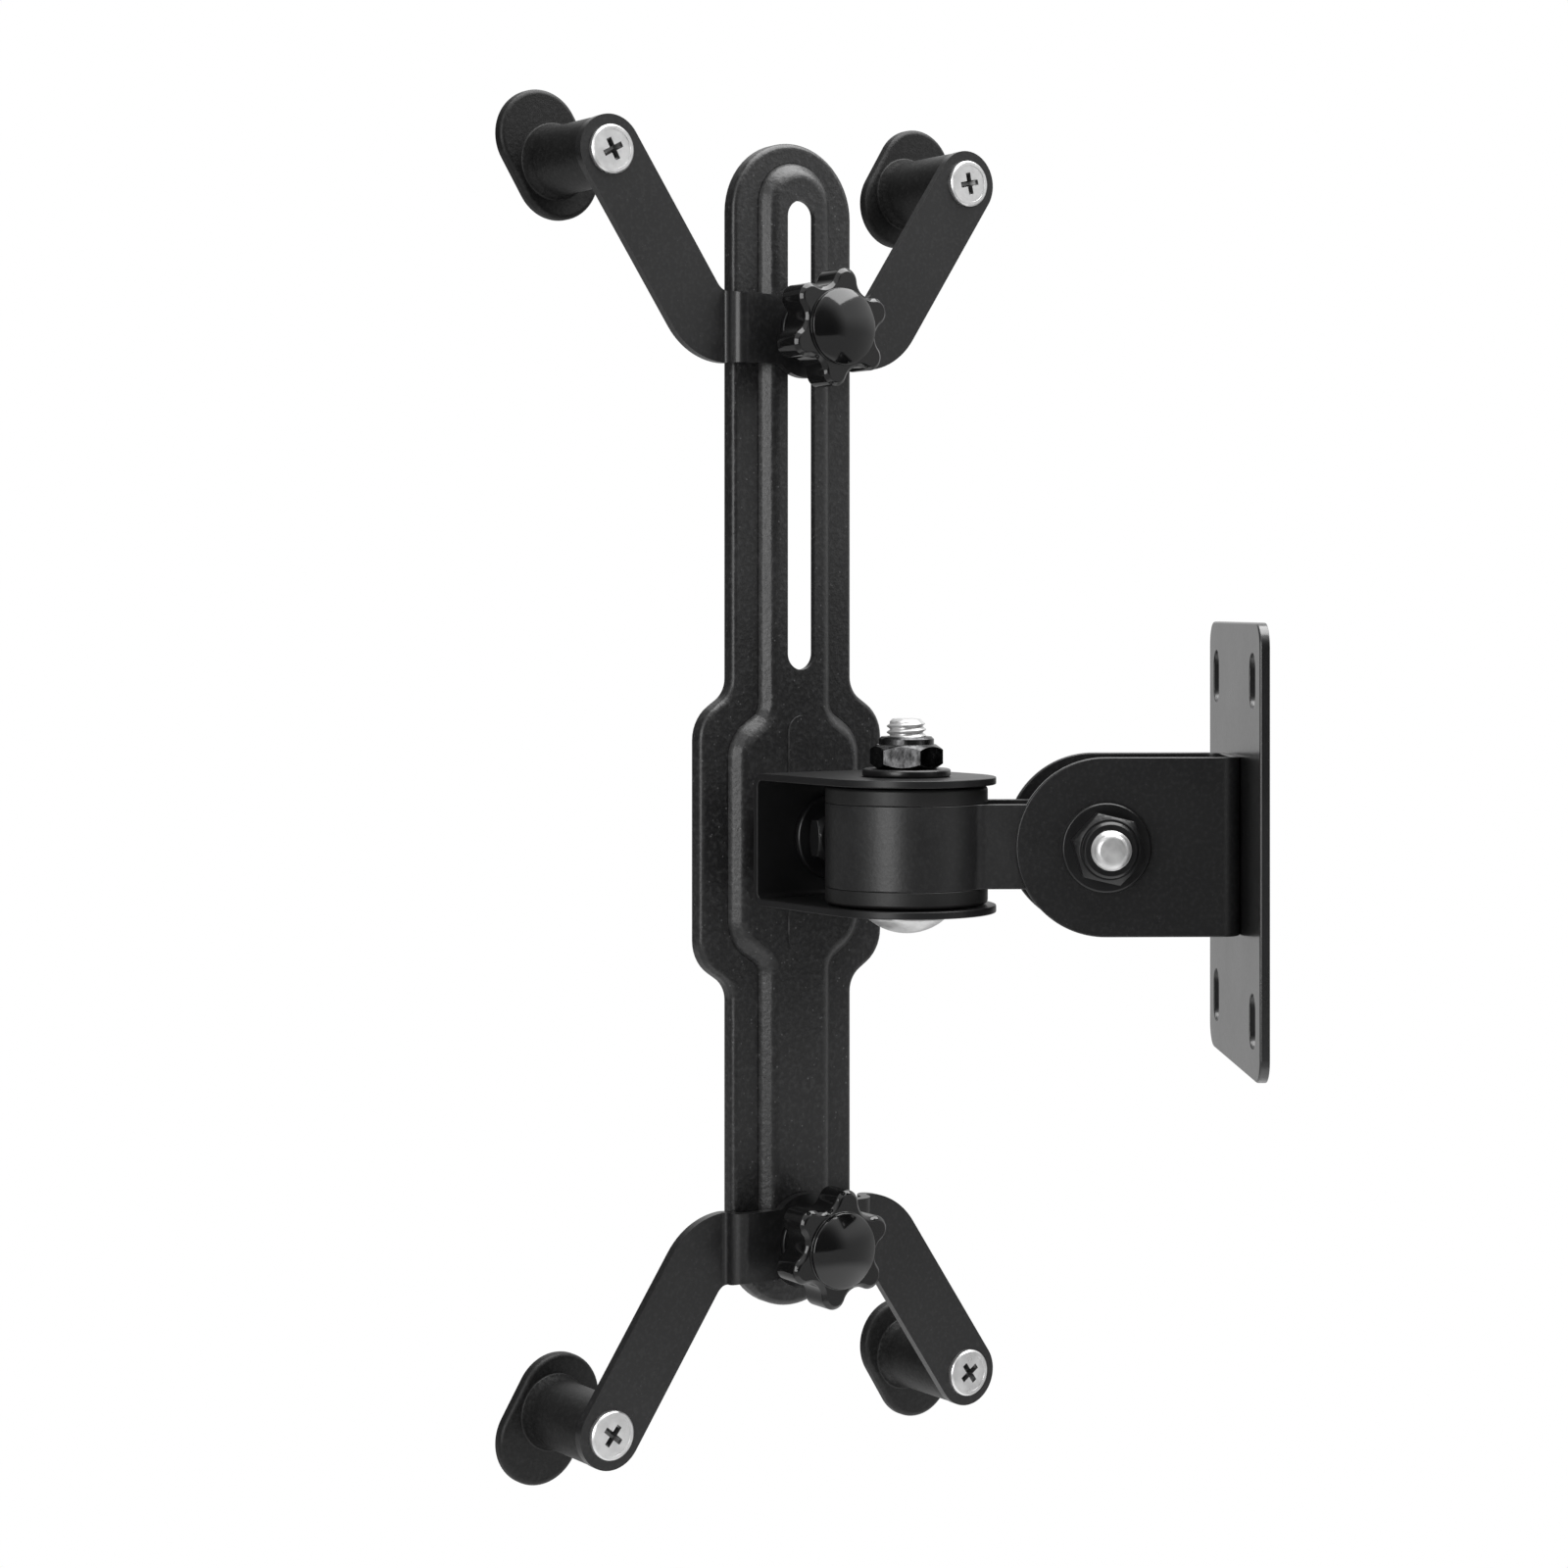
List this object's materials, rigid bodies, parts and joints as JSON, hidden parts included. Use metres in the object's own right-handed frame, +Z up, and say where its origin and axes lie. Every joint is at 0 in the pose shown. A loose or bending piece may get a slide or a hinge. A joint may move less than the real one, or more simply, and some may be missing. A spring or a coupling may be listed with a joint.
{
  "type": "tablet wall mount",
  "caption": "Wall mount for a tablet: slotted wall plate, tilting link, swivel bracket, turning pressed spine, and two V-shaped arms with gripping hooks and clamp knobs.",
  "frame": {"origin": "centre of the wall plate's wall face", "axes": "+Y into the wall, +Z up, +X to the right for someone facing the wall"},
  "size_m": [0.1163, 0.1534, 0.2933],
  "materials": {
    "satin_black": "satin",
    "powder_coat": "textured matte",
    "black_hardware": "satin",
    "dark_nut": "polished",
    "zinc_bolt": "satin",
    "bright_screw": "polished",
    "bush_plastic": "satin",
    "hook_plastic": "matte",
    "knob_plastic": "gloss"
  },
  "bodies": {
    "wall_side": {"wall_plate": "satin_black", "wall_clevis": "satin_black", "tilt_bolt": "zinc_bolt", "tilt_nut": "black_hardware", "tilt_washer_nut_side": "black_hardware", "tilt_washer_head_side": "black_hardware"},
    "link": {"link_strap": "satin_black", "tilt_spacer_tube": "bush_plastic", "bush_upper": "bush_plastic", "bush_lower": "bush_plastic"},
    "bracket": {"swivel_bracket": "satin_black", "swivel_bolt": "zinc_bolt", "swivel_washer": "black_hardware", "swivel_nut": "dark_nut", "spin_spacer": "bush_plastic"},
    "holder": {"spine": "powder_coat", "spin_bolt": "zinc_bolt", "spin_washer": "black_hardware", "spin_nut": "black_hardware", "lower_arm": "satin_black", "lower_clamp_bolt": "black_hardware", "lower_clamp_washer": "black_hardware", "lower_hook_left": "hook_plastic", "lower_hook_right": "hook_plastic", "lower_hook_screw_left": "bright_screw", "lower_hook_screw_right": "bright_screw"},
    "upper_arm_set": {"upper_arm": "satin_black", "upper_clamp_bolt": "black_hardware", "upper_clamp_washer": "black_hardware", "upper_hook_left": "hook_plastic", "upper_hook_right": "hook_plastic", "upper_hook_screw_left": "bright_screw", "upper_hook_screw_right": "bright_screw"},
    "upper_knob": {"upper_knob": "knob_plastic"},
    "lower_knob": {"lower_knob": "knob_plastic"}
  },
  "joints": [
    {"name": "tilt", "type": "hinge", "parent": "wall_side", "child": "link", "pos_m": [0, -0.0295, 0], "axis": [1, 0, 0], "range_deg": [-45, 45]},
    {"name": "swivel", "type": "hinge", "parent": "link", "child": "bracket", "pos_m": [0, -0.0687, 0], "axis": [0, 0, 1], "range_deg": [-18.3, 131.7]},
    {"name": "spin", "type": "hinge", "parent": "bracket", "child": "holder", "pos_m": [0, -0.0687, 0], "axis": [0.8358, 0.549, 0], "continuous": true},
    {"name": "upper_arm_slide", "type": "slide", "parent": "holder", "child": "upper_arm_set", "axis": [0, 0, 1], "range_m": [-0.06, 0.022]},
    {"name": "upper_knob_turn", "type": "hinge", "parent": "upper_arm_set", "child": "upper_knob", "pos_m": [-0.0209, -0.08243, 0.1066], "axis": [0.8358, 0.549, 0], "continuous": true},
    {"name": "lower_knob_turn", "type": "hinge", "parent": "holder", "child": "lower_knob", "pos_m": [-0.0209, -0.08243, -0.0863], "axis": [0.8358, 0.549, 0], "continuous": true}
  ]
}
